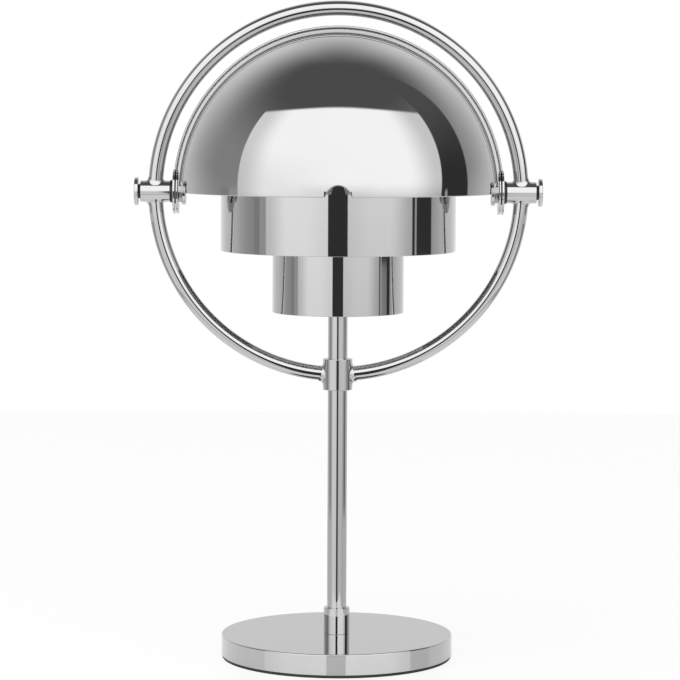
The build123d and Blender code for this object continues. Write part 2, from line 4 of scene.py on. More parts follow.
import bpy
import numpy as np
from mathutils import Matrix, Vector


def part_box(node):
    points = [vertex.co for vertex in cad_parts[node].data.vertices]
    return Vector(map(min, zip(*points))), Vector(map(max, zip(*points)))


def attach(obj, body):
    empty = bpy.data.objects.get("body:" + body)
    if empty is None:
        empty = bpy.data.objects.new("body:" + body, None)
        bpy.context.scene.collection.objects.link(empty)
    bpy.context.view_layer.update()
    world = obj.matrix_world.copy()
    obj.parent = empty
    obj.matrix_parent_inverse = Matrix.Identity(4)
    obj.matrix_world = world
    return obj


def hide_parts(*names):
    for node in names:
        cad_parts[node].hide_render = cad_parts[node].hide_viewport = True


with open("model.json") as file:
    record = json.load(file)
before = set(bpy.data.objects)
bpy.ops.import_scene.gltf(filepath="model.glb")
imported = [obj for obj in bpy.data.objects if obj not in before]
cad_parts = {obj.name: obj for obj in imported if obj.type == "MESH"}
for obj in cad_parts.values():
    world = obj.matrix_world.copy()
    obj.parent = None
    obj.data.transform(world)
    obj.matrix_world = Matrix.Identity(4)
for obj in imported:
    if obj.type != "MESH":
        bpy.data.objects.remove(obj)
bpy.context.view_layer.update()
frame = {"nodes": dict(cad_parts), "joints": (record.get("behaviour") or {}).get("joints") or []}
mm = 0.001


# The studio. The lamp stands on a pale gloss table in a white tent, photographed from 1.55 m away
# with a long lens. Its chrome shows what the tent holds: two bright panels in front with a dark
# slit between them, a black flag at the right, grey sides, a dark ceiling and a pale wall behind.
def add_node(tree, kind, inputs=(), **settings):
    """Adds a shader node with its settings. The inputs are a list in the node's order, or a dict by
    name or number. A value may be a socket to link, or a node, which stands for its first output."""
    new = tree.nodes.new("ShaderNode" + kind)
    for name, value in settings.items():
        setattr(new, name, value)
    for place, value in inputs.items() if isinstance(inputs, dict) else enumerate(inputs):
        value = value.outputs[0] if isinstance(value, bpy.types.Node) else value
        if isinstance(value, bpy.types.NodeSocket):
            tree.links.new(value, new.inputs[place])
        else:
            new.inputs[place].default_value = value
    return new


def srgb(code):
    """A colour written as a hex code, turned to linear light with full alpha."""
    parts = np.array([int(code[i:i + 2], 16) for i in (1, 3, 5)]) / 255
    linear = np.where(parts <= 0.04045, parts / 12.92, ((parts + 0.055) / 1.055) ** 2.4)
    return (*linear.tolist(), 1.0)


photo_side = 680  # pixels
photo_focal = 2868.7  # focal length in pixels of the photograph
sensor_width = 36.0  # millimetres
camera_distance = 1.549
camera_height = 0.3067
camera_shift = 0.0012  # the camera stands this far right of the lamp's axis
camera_pitch = 4.925  # degrees below level
camera_roll = 0.25  # degrees

scene = bpy.context.scene
camera_data = bpy.data.cameras.new("camera")
camera_data.sensor_width = sensor_width
camera_data.lens = photo_focal / photo_side * sensor_width
camera = bpy.data.objects.new("camera", camera_data)
camera.location = (camera_shift, -camera_distance, camera_height)
camera.rotation_mode = "ZXY"
camera.rotation_euler = (radians(90 - camera_pitch), 0, radians(camera_roll))
scene.collection.objects.link(camera)
scene.camera = camera
scene.view_settings.view_transform = "Standard"

scene.world = bpy.data.worlds.new("white_tent")
scene.world.use_nodes = True
tent = scene.world.node_tree
tent.nodes.clear()

# A direction in the tent, in degrees: how far it turns from the front to the right, how far that is
# from the front either way, and how far it rises
direction = add_node(tent, "TexCoord").outputs["Generated"]
sides = add_node(tent, "SeparateXYZ", [direction])
forwards = add_node(tent, "Math", [sides.outputs["Y"], -1.0], operation="MULTIPLY")
turn = add_node(tent, "Math", [sides.outputs["X"], forwards], operation="ARCTAN2")
turn = add_node(tent, "Math", [turn], operation="DEGREES")
rise = add_node(tent, "Math", [sides.outputs["Z"]], operation="ARCSINE")
rise = add_node(tent, "Math", [rise], operation="DEGREES")
away = add_node(tent, "Math", [turn], operation="ABSOLUTE")


def level(*steps, of=None):
    """Level of light as a product of smooth steps, each (angle, where it starts, where it ends) from
    nothing to one, or with its own two levels after them. It may be a share of another level."""
    for angle, start, end, *levels in steps:
        low, high = levels or (0.0, 1.0)
        inputs = [angle, start, end, low, high]
        step = add_node(tent, "MapRange", inputs, interpolation_type="SMOOTHSTEP")
        of = add_node(tent, "Math", [of, step], operation="MULTIPLY") if of else step
    return of


def hang(light, cloth, *steps):
    """The tent's light with a cloth of another level in it, between the smooth steps of its edges."""
    return add_node(tent, "Mix", {0: level(*steps), 2: light, 3: cloth}, data_type="FLOAT")


# The front panels lean outwards, so their side edges stand further round the higher they are
left_lean, right_lean = 0.1, -0.18
above = add_node(tent, "Math", [rise, 0.0], operation="MAXIMUM")
left_turn = add_node(tent, "Math", [above, left_lean, turn], operation="MULTIPLY_ADD")
right_turn = add_node(tent, "Math", [above, right_lean, turn], operation="MULTIPLY_ADD")

# Grey side walls that get paler towards the back, and darken to the ceiling
ceiling = 0.12
light = level((away, 90, 135, 0.40, 0.76), (away, 135, 165, 1, 1.21))
light = hang(light, level((away, 95, 165, 0.36, 0.92)), (rise, -2, 12))
light = level((away, 158, 178, 1, 0.86), of=light)
wall_rise = add_node(tent, "Math", [rise, level((away, 60, 180, 18, 0))], operation="ADD")
light = hang(light, ceiling, (wall_rise, 34, 80))

# Beside the left panel, a half-lit strip and the dark edge of the next cloth
light = hang(light, 0.46, (left_turn, -83.5, -82), (left_turn, -70, -71), (rise, 4, 0))
light = hang(light, 0.33, (left_turn, -92, -88), (left_turn, -82, -83.5), (rise, 4, 0))

# Two front panels, brightest high in the middle, dimmer at their outer edges and near the table.
# Their tops drop by the square of the angle from the front.
top_drop = 9 / 60 ** 2
square = add_node(tent, "Math", [away, away], operation="MULTIPLY")
panel_rise = add_node(tent, "Math", [square, top_drop, rise], operation="MULTIPLY_ADD")
left_panel = hang(level((rise, -10, 2, 0.98, 1.38)), 1.6, (rise, 4, 34))
right_panel = level((rise, -11, 9, 0.74, 1.6))
crossing = hang(level((turn, -6, 6)), level((turn, -60, 10)), (rise, -1, 4))
panel = add_node(tent, "Mix", {0: crossing, 2: left_panel, 3: right_panel}, data_type="FLOAT")
dip = add_node(tent, "Math", [level((rise, 0, 10, 0.9, 1.0)), level((away, 9, 34, 0.9, 1.0))],
               operation="MAXIMUM")
panel = add_node(tent, "Math", [panel, dip], operation="MULTIPLY")
panel = level((turn, -74, -50, 0.68, 1.0), (turn, 50, 77, 1.0, 0.62), of=panel)
light = hang(light, panel, (left_turn, -75.2, -74.2), (right_turn, 77.4, 76.2), (panel_rise, 64, 61.5))

# The black flag at the right, its grey foot, and a lit seam between it and the panel
flag = level((rise, 8, 50, 0.045, ceiling))
light = hang(light, flag, (right_turn, 76.2, 77.4), (right_turn, 104, 102))
foot = level((turn, 80, 93, 0.38, 0.3))
light = hang(light, foot, (turn, 78, 79), (turn, 95.5, 94.5), (rise, -3.3, -3.5))
light = hang(light, 0.5, (right_turn, 79.6, 80.4), (right_turn, 82.6, 81.8), (rise, 3, 0))

# The table's far parts at both sides, beyond the plinth. Below the panels, past a dark seam, the
# tent's floor is pale, and at the sides it starts lower.
light = hang(light, 0.7, (rise, -8.2, -8.6), (rise, -11.4, -11), (away, 68, 74))
floor_start = level((away, 68, 90, -10, -34))
over_floor = add_node(tent, "Math", [rise, floor_start], operation="SUBTRACT")
light = hang(light, 1.0, (over_floor, 1, -6))
light = hang(light, 0.15, (rise, -31, -32), (rise, -35, -34), (away, 80, 70))

path = add_node(tent, "LightPath")
tent_light = add_node(tent, "Background", {"Color": srgb("#FFFFFF"), "Strength": light})
white = add_node(tent, "Background", {"Color": srgb("#FFFFFF"), "Strength": 1.0})
seen = add_node(tent, "MixShader", [path.outputs["Is Camera Ray"], tent_light, white])
add_node(tent, "OutputWorld", {"Surface": seen})


def new_material(name):
    """An empty material, its node tree and the place on the object that its patterns go by."""
    material = bpy.data.materials.new(name)
    material.use_nodes = True
    tree = material.node_tree
    tree.nodes.clear()
    return material, tree, add_node(tree, "TexCoord").outputs["Object"]


def stage_card(name, corner, across, up, material):
    """A flat card of the studio, from its first corner and its two sides."""
    corner, across, up = np.array([corner, across, up])
    mesh = bpy.data.meshes.new(name)
    mesh.from_pydata([corner, corner + across, corner + across + up, corner + up], [], [(0, 1, 2, 3)])
    mesh.materials.append(material)
    card = bpy.data.objects.new(name, mesh)
    scene.collection.objects.link(card)
    return card


# The table: white and glossy, lifted to the white of the background where the camera sees it. The
# lamp stood on a small plinth, so beyond its edges the chrome looks past the table. The gloss fades
# towards the front, and from below the table is clear, so that the lamp's underside shows.
plinth_half = 0.125
plinth_front = 0.175
table_paint, top, place = new_material("pale_gloss_table")
path = add_node(top, "LightPath")
parts = add_node(top, "SeparateXYZ", [place])
across = add_node(top, "Math", [parts.outputs["X"]], operation="ABSOLUTE")
beside = add_node(top, "Math", [across, plinth_half], operation="GREATER_THAN")
before = add_node(top, "Math", [parts.outputs["Y"], -plinth_front], operation="LESS_THAN")
past = add_node(top, "Math", [beside, before], operation="MAXIMUM")
past = add_node(top, "Math", [past, path.outputs["Is Glossy Ray"]], operation="MULTIPLY")
under = add_node(top, "NewGeometry").outputs["Backfacing"]
past = add_node(top, "Math", [past, under], operation="MAXIMUM")
gloss = add_node(top, "MapRange", [parts.outputs["Y"], -0.3, -0.2, 0.0, 0.5])
board = add_node(top, "BsdfPrincipled", {"Base Color": srgb("#EBEBEB"), "Roughness": 0.06,
                                         "Specular IOR Level": gloss})
glow = add_node(top, "Emission", {"Strength": 1.0})
lifted = add_node(top, "Mix", {0: path.outputs["Is Camera Ray"], 2: 0.3, 3: 0.88}, data_type="FLOAT")
surface = add_node(top, "MixShader", [lifted, board, glow])
clear = add_node(top, "BsdfTransparent")
surface = add_node(top, "MixShader", [past, surface, clear])
add_node(top, "OutputMaterial", {"Surface": surface})
reach = 1.2
floor_drop = -0.05 * mm  # just clear of the rubber foot's lower face
stage_card("table", (-reach, -reach, floor_drop), (2 * reach, 0, 0), (0, 2 * reach, 0), table_paint)

# The low dark gap between the panels, where the camera stands. Only the chrome shows it.
gap_left, gap_right = -0.150, 0.140
gap_bottom, gap_top = -0.5, 0.286
gap_front = -0.9
dark_cloth, tree, place = new_material("dark_cloth")
black = add_node(tree, "Emission", {"Strength": 0.045})
add_node(tree, "OutputMaterial", {"Surface": black})
dark_gap = stage_card("dark_gap", (gap_left, gap_front, gap_bottom), (gap_right - gap_left, 0, 0),
                      (0, 0, gap_top - gap_bottom), dark_cloth)
for ray in ("camera", "diffuse", "transmission", "volume_scatter", "shadow"):
    setattr(dark_gap, "visible_" + ray, False)

# A soft lamp over the tent, aimed at the table under it
lamp_place = (-0.3, -0.4, 1.7)
lamp_data = bpy.data.lights.new("overhead", "AREA")
lamp_data.shape = "DISK"
lamp_data.size = 1.4
lamp_data.energy = 20
overhead = bpy.data.objects.new("overhead", lamp_data)
overhead.location = lamp_place
overhead.rotation_euler = (atan2(-lamp_place[1], lamp_place[2]), atan2(lamp_place[0], lamp_place[2]), 0)
overhead.visible_glossy = False
scene.collection.objects.link(overhead)


# Foot pad: a full round of black rubber glued under the base, moulded flat with a soft edge.
# The lamp stands on it. It is the first turned piece, so the ways to turn one are here.
arc_points = 7  # on each rounded corner


def unit(vectors):
    """Vectors scaled to length one."""
    return vectors / np.linalg.norm(vectors, axis=-1, keepdims=True)


def round_corners(corners, rounds):
    """Points and outward normals of an outline whose corners become arcs tangent to its sides.

    The outline runs anticlockwise. One that starts on the axis also ends there, and has no arc
    there. For the half angle h of a corner, the arc's centre lies radius / sin(h) from it along the
    bisector, and touches the sides radius / tan(h) from it.
    """
    corners = np.asarray(corners, float)
    before = unit(np.roll(corners, 1, 0) - corners)
    after = unit(np.roll(corners, -1, 0) - corners)
    half = np.arccos(np.clip((before * after).sum(1), -1, 1)) / 2
    radius = np.broadcast_to(rounds, half.shape)
    centre = corners + unit(before + after) * (radius / np.sin(half))[:, None]
    turn_left = np.sign(after[:, 0] * before[:, 1] - after[:, 1] * before[:, 0])
    sweep = (pi - 2 * half) * turn_left
    first = corners + before * (radius / np.tan(half))[:, None] - centre
    start = np.arctan2(first[:, 1], first[:, 0])
    angle = start[:, None] + sweep[:, None] * np.linspace(0, 1, arc_points)
    spoke = np.stack([np.cos(angle), np.sin(angle)], -1)
    points = centre[:, None] + spoke * radius[:, None, None]
    normals = spoke * turn_left[:, None, None]
    if corners[0, 0] > 0:
        return points.reshape(-1, 2), normals.reshape(-1, 2)
    middle_points, middle_normals = points[1:-1].reshape(-1, 2), normals[1:-1].reshape(-1, 2)
    points = np.vstack([corners[:1], middle_points, corners[-1:]])
    normals = np.vstack([[middle_normals[0]], middle_normals, [middle_normals[-1]]])
    return points, normals


def bar_outline(inner, outer, low, high, rounds):
    """Outline of a turned bar, or of a sleeve if the inner radius isn't zero."""
    return round_corners([(inner, low), (outer, low), (outer, high), (inner, high)], rounds)


def patch(points, normals, loop_rows=False, loop_columns=False, paint=0):
    """A surface on a grid of rows and columns, as vertices, normals, faces and each face's paint.

    A loop joins the last row or column to the first. Faces are turned to agree with the normals.
    The paint is one number, or one for each row.
    """
    rows, columns = points.shape[:2]
    ids = np.arange(rows * columns).reshape(rows, columns)
    paint = np.broadcast_to(paint, rows)
    if loop_rows:
        ids = np.vstack([ids, ids[:1]])
    else:
        paint = paint[:-1]
    if loop_columns:
        ids = np.hstack([ids, ids[:, :1]])
    quads = np.stack([ids[:-1, :-1], ids[:-1, 1:], ids[1:, 1:], ids[1:, :-1]], -1)
    paint = np.repeat(paint, quads.shape[1])
    quads = quads.reshape(-1, 4)
    flat, sense = points.reshape(-1, 3), normals.reshape(-1, 3)
    across = np.cross(flat[quads[:, 2]] - flat[quads[:, 0]], flat[quads[:, 3]] - flat[quads[:, 1]])
    if (across * sense[quads].sum(1)).sum() < 0:
        quads = quads[:, ::-1]
    return flat, sense, quads, paint


def turned(outline, origin=(0, 0, 0), axis=(0, 0, 1), count=96, paint=0, angles=None):
    """Surface of revolution. A point at (radius, height) of the outline goes to
    origin + height * axis + radius * (cos a, sin a) across the axis, for angles a all round. An
    outline that is clear of the axis is a loop."""
    points, normals = outline
    across = unit(np.cross((0, 1, 0) if abs(axis[1]) < 0.5 else (1, 0, 0), axis))
    angle = np.linspace(0, 2 * pi, count, endpoint=False) if angles is None else angles
    spoke = np.cos(angle)[:, None] * across + np.sin(angle)[:, None] * np.cross(axis, across)
    place = origin + points[:, None, :1] * spoke + points[:, None, 1:] * axis
    sense = normals[:, None, :1] * spoke + normals[:, None, 1:] * axis
    return patch(place, sense, loop_rows=points[0, 0] > 0, loop_columns=True, paint=paint)


def make_piece(name, node, slot, patches, *materials, body="lamp"):
    """Joins patches into one smooth mesh that rides on a body and stands for its CAD node.

    Points less than a nanometre apart become one, which closes the seams and the poles. A face that
    loses a side to this becomes a triangle, or goes if it has no area. Each corner keeps its normal.
    """
    flats, senses, faces, paints = zip(*patches)
    points, normals, paint = np.vstack(flats), np.vstack(senses), np.concatenate(paints)
    starts = np.cumsum([0] + [len(flat) for flat in flats])
    quads = np.vstack([face + start for face, start in zip(faces, starts)])
    grid = np.rint(points * 1e9).astype(np.int64)
    _, first, same = np.unique(grid, axis=0, return_index=True, return_inverse=True)
    corners = same.reshape(-1)[quads]
    distinct = corners != np.roll(corners, 1, 1)
    kept = distinct.sum(1) > 2
    quads, corners, distinct, paint = quads[kept], corners[kept], distinct[kept], paint[kept]
    sides = distinct.sum(1)
    mesh = bpy.data.meshes.new(name)
    mesh.vertices.add(len(first))
    mesh.vertices.foreach_set("co", points[first].ravel())
    mesh.loops.add(int(sides.sum()))
    mesh.loops.foreach_set("vertex_index", corners[distinct].astype(np.int32))
    mesh.polygons.add(len(quads))
    mesh.polygons.foreach_set("loop_start", (np.cumsum(sides) - sides).astype(np.int32))
    mesh.polygons.foreach_set("material_index", paint.astype(np.int32))
    mesh.polygons.foreach_set("use_smooth", np.ones(len(quads), bool))
    for material in materials:
        mesh.materials.append(material)
    mesh.update(calc_edges=True)
    mesh.normals_split_custom_set(normals[quads[distinct]].tolist())
    piece = bpy.data.objects.new(name, mesh)
    scene.collection.objects.link(piece)
    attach(piece, body)
    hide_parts(node)


def finish_surface(tree, inputs):
    """The surface shader of a material, from its inputs."""
    surface = add_node(tree, "BsdfPrincipled", inputs)
    add_node(tree, "OutputMaterial", {"Surface": surface})


def grained(name, colours, grain, roughness, relief=0.0, bump=0.6, detail=4.0, metallic=0.0, ior=1.5,
            stretch=(1, 1, 1), more={}):
    """A material with a noise of one grain size in its colour, in its roughness where that has two
    values, and in its relief. The grain and the relief's height are in millimetres."""
    material, tree, place = new_material(name)
    scale = [1 / (grain * mm * along) for along in stretch]
    sized = add_node(tree, "Mapping", {"Vector": place, "Scale": scale})
    noise = add_node(tree, "TexNoise", {"Vector": sized, "Scale": 1.0, "Detail": detail})
    tone = add_node(tree, "Mix", {0: noise, 6: srgb(colours[0]), 7: srgb(colours[1])}, data_type="RGBA")
    if isinstance(roughness, tuple):
        low, high = roughness
        roughness = add_node(tree, "MapRange", {"Value": noise, "To Min": low, "To Max": high})
    inputs = {"Base Color": tone.outputs[2], "Metallic": metallic, "Roughness": roughness, "IOR": ior}
    if relief:
        dents = add_node(tree, "Bump", {"Height": noise, "Strength": bump, "Distance": relief * mm})
        inputs["Normal"] = dents
    finish_surface(tree, {**inputs, **more})
    return material


# Nitrile rubber, moulded: a matt black with a fine even grain
rubber = grained("moulded_nitrile_rubber", ("#17171A", "#232326"), 0.5, 0.62, 0.05, 0.25, 3.0, ior=1.52)
low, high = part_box("foot_pad")
pad = bar_outline(0, high.x, low.z, high.z, 0.35 * mm)
make_piece("rubber_foot", "foot_pad", "foot_rubber", [turned(pad, count=192)], rubber)


# Shell of the base: a shallow cup pressed from steel and plated with polished chrome, so that it
# mirrors the tent. Its wall is pierced at the back for the charging socket and the dimmer button.
def chrome_plate(name, grain):
    """Polished chrome plate, with wiping marks of a size in millimetres along each axis."""
    material, tree, place = new_material(name)
    scale = [1 / (size * mm) for size in grain]
    stretch = add_node(tree, "Mapping", {"Vector": place, "Scale": scale})
    marks = add_node(tree, "TexNoise", {"Vector": stretch, "Scale": 1.0, "Detail": 4.0})
    haze = add_node(tree, "TexNoise", {"Vector": place, "Scale": 1 / (35 * mm), "Detail": 2.0})
    blur = add_node(tree, "MapRange", [haze, 0.3, 0.75, 0.02, 0.05])
    tone = add_node(tree, "Mix", {0: marks, 6: srgb("#C2C2C3"), 7: srgb("#C6C6C7")}, data_type="RGBA")
    wiped = add_node(tree, "Bump", {"Height": marks, "Strength": 0.03, "Distance": 0.01 * mm})
    finish_surface(tree, {"Base Color": tone.outputs[2], "Metallic": 1.0, "Roughness": blur,
                          "Normal": wiped})
    return material


def slotted_outline(half_flat, radius, count=96):
    """Points and outward normals of a round-ended slot, where evenly spread rays leave its centre.

    Along a ray at angle t the slot ends at radius / |sin t| on a flat, or at
    h |cos t| + sqrt(radius^2 - (h sin t)^2) on a round end, for the half length h of a flat.
    """
    t = np.linspace(0, 2 * pi, count, endpoint=False) + pi / count
    along, up = np.cos(t), np.sin(t)
    on_end = half_flat * np.abs(along) + np.sqrt(np.maximum(radius ** 2 - (half_flat * up) ** 2, 0))
    flat = np.abs(along) * radius < half_flat * np.abs(up)
    reach = np.where(flat, radius / np.maximum(np.abs(up), 1e-9), on_end)
    points = np.stack([reach * along, reach * up], -1)
    centre = np.clip(points[:, 0], -half_flat, half_flat)
    normals = np.stack([points[:, 0] - centre, points[:, 1]], -1) / radius
    return points, normals


def spread_columns(windows, across):
    """Angles all round a wall: so many across each window, a (middle, half width) in radians, and one
    every 1.4 degrees or so between them. The second list says at which angle each window starts."""
    angles, starts = [], []
    for (middle, half), (next_middle, next_half) in zip(windows, windows[1:] + windows[:1]):
        starts.append(len(angles))
        angles.extend(np.linspace(middle - half, middle + half, across))
        gap = (next_middle - next_half - middle - half) % (2 * pi)
        steps = int(gap / radians(1.4))
        angles.extend(middle + half + gap * np.arange(1, steps) / steps)
    return np.array(angles), starts


def lined_hole(hole, window, walls, edge):
    """Hole (half flat, end radius) through a round wall, with a window of both its faces round it.

    The window is (angle, half width in radians, height of the hole's middle), and each face of the
    wall is (radius, low, high). With u sideways from the hole's axis and y along it, a face of
    radius R lies at y = sqrt(R^2 - u^2). The grid goes from the outer frame, at u = R sin(a) for
    even angles a, to the hole's broken edge, straight through and out to the inner frame.
    """
    outline, out = slotted_outline(*hole)
    angle, half, height = window
    across = np.linspace(half, -half, len(outline) // 2)
    across = np.concatenate([across, across[::-1]])
    share = np.linspace(0, 1, 8)[:, None, None]
    swing = np.linspace(0, pi / 2, 5)[1:, None, None]
    lean = np.concatenate([0 * share, swing])
    into_hole = np.insert(-out, 1, 0, axis=1)
    points, normals = [], []
    for facing, (radius, low, high) in zip((1, -1), walls):
        frame_up = np.where(outline[:, 1] > 0, high, low) - height
        frame_line = np.column_stack([radius * np.sin(across), frame_up])
        flat = frame_line * (1 - share) + (outline + out * edge) * share
        bent = outline + out * edge * (1 - np.sin(swing))
        sideways, up = np.moveaxis(np.concatenate([flat, bent]), -1, 0)
        face = np.sqrt(radius ** 2 - sideways ** 2)
        sunk = facing * edge * (1 - np.cos(lean[..., 0]))
        points.append(np.stack([sideways, face - sunk, height + up], -1)[::facing])
        radial = np.stack([sideways, face, 0 * up], -1) * facing / radius
        normals.append((radial * np.cos(lean) + into_hole * np.sin(lean))[::facing])
    axes = ((-sin(angle), cos(angle), 0), (cos(angle), sin(angle), 0), (0, 0, 1))
    return patch(np.concatenate(points) @ axes, np.concatenate(normals) @ axes, loop_columns=True)


base_chrome = chrome_plate("polished_chrome_pressed_steel", (4, 4, 4))
low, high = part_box("base_shell")
base_wall = 2.2 * mm
base_top_thickness = 2.0 * mm
base_edge_round = 0.7 * mm
rim_round = 0.15 * mm
stem_thread_radius = 4.85 * mm
base_radius = high.x
inside_radius = base_radius - base_wall
inside_top = high.z - base_top_thickness
port_low, port_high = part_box("charging_socket")
port_half_height = (port_high.z - port_low.z) / 2
port_half_flat = port_high.x - port_half_height
control_height = (port_low.z + port_high.z) / 2
fit_gap = 0.05 * mm
button_angle = radians(112)
button_hole = 2.75 * mm
holes = [(port_half_flat, port_half_height + fit_gap), (0.0, button_hole)]
hole_angles = (pi / 2, button_angle)
window_margin = 2.5 * mm
windows = [(angle, (sum(hole) + window_margin) / base_radius) for angle, hole in zip(hole_angles, holes)]

shell_line, shell_sense = round_corners(
    [(base_radius, low.z), (base_radius, high.z), (stem_thread_radius, high.z),
     (stem_thread_radius, inside_top), (inside_radius, inside_top), (inside_radius, low.z)],
    [rim_round, base_edge_round, 0.2 * mm, 0.1 * mm, 0.6 * mm, rim_round])
outer_row, inner_row = arc_points - 1, 5 * arc_points - 1
walls = [(base_radius, shell_line[outer_row, 1], shell_line[outer_row + 1, 1]),
         (inside_radius, shell_line[inner_row + 1, 1], shell_line[inner_row, 1])]
window_columns = 48
columns, window_starts = spread_columns(windows, window_columns)
flat, sense, quads, paint = turned((shell_line, shell_sense), angles=columns)
solid = np.ones((len(shell_line), len(columns)), bool)
for start in window_starts:
    solid[[outer_row, inner_row], start:start + window_columns - 1] = False
solid = solid.ravel()
hole_patches = [lined_hole(hole, (angle, half, control_height), walls, rim_round)
                for hole, (angle, half) in zip(holes, windows)]
make_piece("base_cup", "base_shell", "chrome_base",
           [(flat, sense, quads[solid], paint[solid])] + hole_patches, base_chrome)


# Charging socket: a flattened shell of thin bright steel pressed into the slot at the back, with a
# black tongue inside that carries the gilt contacts.
def extruded(points, normals, steps):
    """Outline pushed along +Y: for each step (y, set-off, lean) the outline is moved outwards by the
    set-off and its normals lean by that angle towards +Y."""
    rows, senses = [], []
    for y, set_off, lean in steps:
        moved = points + normals * set_off
        rows.append(np.insert(moved, 1, y, axis=1))
        senses.append(np.insert(normals * cos(lean), 1, sin(lean), axis=1))
    return patch(np.stack(rows), np.stack(senses), loop_columns=True)


def end_face(line, y, way, middle=(0, 0)):
    """Flat face at a place along Y, from an outline to a point inside it, facing along Y or back."""
    rows = np.stack([np.insert(line, 1, y, axis=1), np.tile([middle[0], y, middle[1]], (len(line), 1))])
    return patch(rows, np.broadcast_to([0.0, way, 0.0], rows.shape), loop_columns=True)


def edge_steps(end, edge, count):
    """Steps of an extrusion that round off its edge before its end."""
    return [(end - edge * (1 - sin(a)), edge * (cos(a) - 1), a) for a in np.linspace(0, pi / 2, count)]


# Stainless sheet, drawn: bright, with fine lines along the way it was drawn
socket_steel = grained("bright_stainless_sheet", ("#BDBDBB", "#BDBDBB"), 0.15, (0.16, 0.32), detail=3.0,
                       metallic=1.0, stretch=(1, 4 / 0.15, 1))
# Black moulded nylon with gilt bars: the contacts shine in an even row
contact_pitch = 1.0 * mm
contact_gap = 0.3 * mm  # from the middle between two bars to a bar's side
tongue_plastic, tree, place = new_material("black_nylon_gilt_contacts")
parts = add_node(tree, "SeparateXYZ", [place])
beat = add_node(tree, "Math", [parts.outputs["X"], contact_pitch / 2], operation="PINGPONG")
bar = add_node(tree, "Math", [beat, contact_gap], operation="LESS_THAN")
gilt = add_node(tree, "Mix", {0: bar, 6: srgb("#101012"), 7: srgb("#E0B45C")}, data_type="RGBA")
shine = add_node(tree, "Mix", {0: bar, 2: 0.5, 3: 0.22}, data_type="FLOAT")
finish_surface(tree, {"Base Color": gilt.outputs[2], "Metallic": bar, "Roughness": shine})

port_shell = 0.35 * mm
lip = port_shell / 2
tongue_half_width, tongue_half_height = 3.3 * mm, 0.35 * mm
tongue_depth = 5.0 * mm
tongue_edge = 0.15 * mm
tongue_root = 0.1 * mm  # how far the tongue runs into the socket's floor
mouth = port_high.y
floor_y = port_low.y + 1.2 * mm
outline, out = slotted_outline(port_half_flat, port_half_height)
lip_steps = [(mouth - lip + lip * sin(a), lip * cos(a), a) for a in np.linspace(0, pi, 7)]
socket_patches = [
    extruded(outline - out * lip, out, [(port_low.y, lip, 0)] + lip_steps + [(floor_y, -lip, pi)]),
    end_face(outline - out * port_shell, floor_y, 1), end_face(outline, port_low.y, -1),
]
tongue_line, tongue_out = round_corners(
    [(tongue_half_width, -tongue_half_height), (tongue_half_width, tongue_half_height),
     (-tongue_half_width, tongue_half_height), (-tongue_half_width, -tongue_half_height)], 0.2 * mm,
)
root, tip = floor_y - tongue_root, floor_y + tongue_depth
tongue = [extruded(tongue_line, tongue_out, [(root, 0, 0)] + edge_steps(tip, tongue_edge, 5)),
          end_face(tongue_line - tongue_out * tongue_edge, tip, 1), end_face(tongue_line, root, -1)]
port_patches = [(flat + (0, 0, control_height), sense, quads, paint + number)
                for number, patches in enumerate((socket_patches, tongue))
                for flat, sense, quads, paint in patches]
make_piece("charging_port", "charging_socket", "plain_steel", port_patches, socket_steel, tongue_plastic)


# Dimmer button: a small turned cap of stainless steel that stands out of the base's back, faced on
# the lathe so that it shows fine rings. It slides 0.8 mm in against its switch.
button_way = np.array([cos(button_angle), sin(button_angle), 0])
ring_width = 0.06 * mm
button_metal, tree, place = new_material("faced_stainless_steel")
centred = add_node(tree, "VectorMath", [place, (0, 0, control_height)], operation="SUBTRACT")
off_axis = add_node(tree, "VectorMath", [centred, tuple(button_way)], operation="CROSS_PRODUCT")
reach = add_node(tree, "VectorMath", [off_axis], operation="LENGTH").outputs["Value"]
rings = add_node(tree, "Math", [reach, ring_width], operation="PINGPONG")
rings = add_node(tree, "Math", [rings, ring_width], operation="DIVIDE")
cuts = add_node(tree, "Bump", {"Height": rings, "Strength": 0.5, "Distance": 0.006 * mm})
finish_surface(tree, {"Base Color": srgb("#C9C8C6"), "Metallic": 1.0, "Roughness": 0.24, "Normal": cuts})
button_radius = 2.6 * mm
flange_radius = 3.5 * mm
stub_radius = 1.6 * mm
button_front = base_radius + 1.2 * mm
flange_end = inside_radius - 0.2 * mm
flange_start = flange_end - 1.2 * mm
button_back = flange_start - 1.4 * mm
button = round_corners(
    [(0, button_back), (stub_radius, button_back), (stub_radius, flange_start),
     (flange_radius, flange_start), (flange_radius, flange_end), (button_radius, flange_end),
     (button_radius, button_front), (0, button_front)],
    np.array([0, 0.15, 0.1, 0.15, 0.15, 0.1, 0.5, 0]) * mm)
make_piece("dimmer_cap", "dimmer_button", "button_metal",
           [turned(button, (0, 0, control_height), button_way)], button_metal, body="dimmer_button")


# Inside the base: cast iron weight, two wrapped cells, the control board with its connector and
# switch, the black cover with its screws, and the washer and nut that hold the stem down.
def coat(material, *nodes):
    """Gives pieces that keep their CAD shape their material."""
    for node in nodes:
        frame["nodes"][node].data.materials[0] = material


# Sand-cast iron with a thin black oil paint: dark, dull and slightly pitted
coat(grained("painted_cast_iron", ("#1E1D1D", "#333231"), 0.9, (0.55, 0.8), 0.15), "base_weight")
# Shrink wrap over lithium cells: smooth plastic film in a dull blue-grey
coat(grained("shrink_wrap_film", ("#2B3A4A", "#33465A"), 6, (0.25, 0.4), 0.02), "battery_cells")
# Glass-fibre laminate with green solder mask: the weave shows as a fine even grain
coat(grained("green_glass_laminate", ("#0F4A2C", "#176338"), 0.5, (0.3, 0.4), 0.01), "control_board")
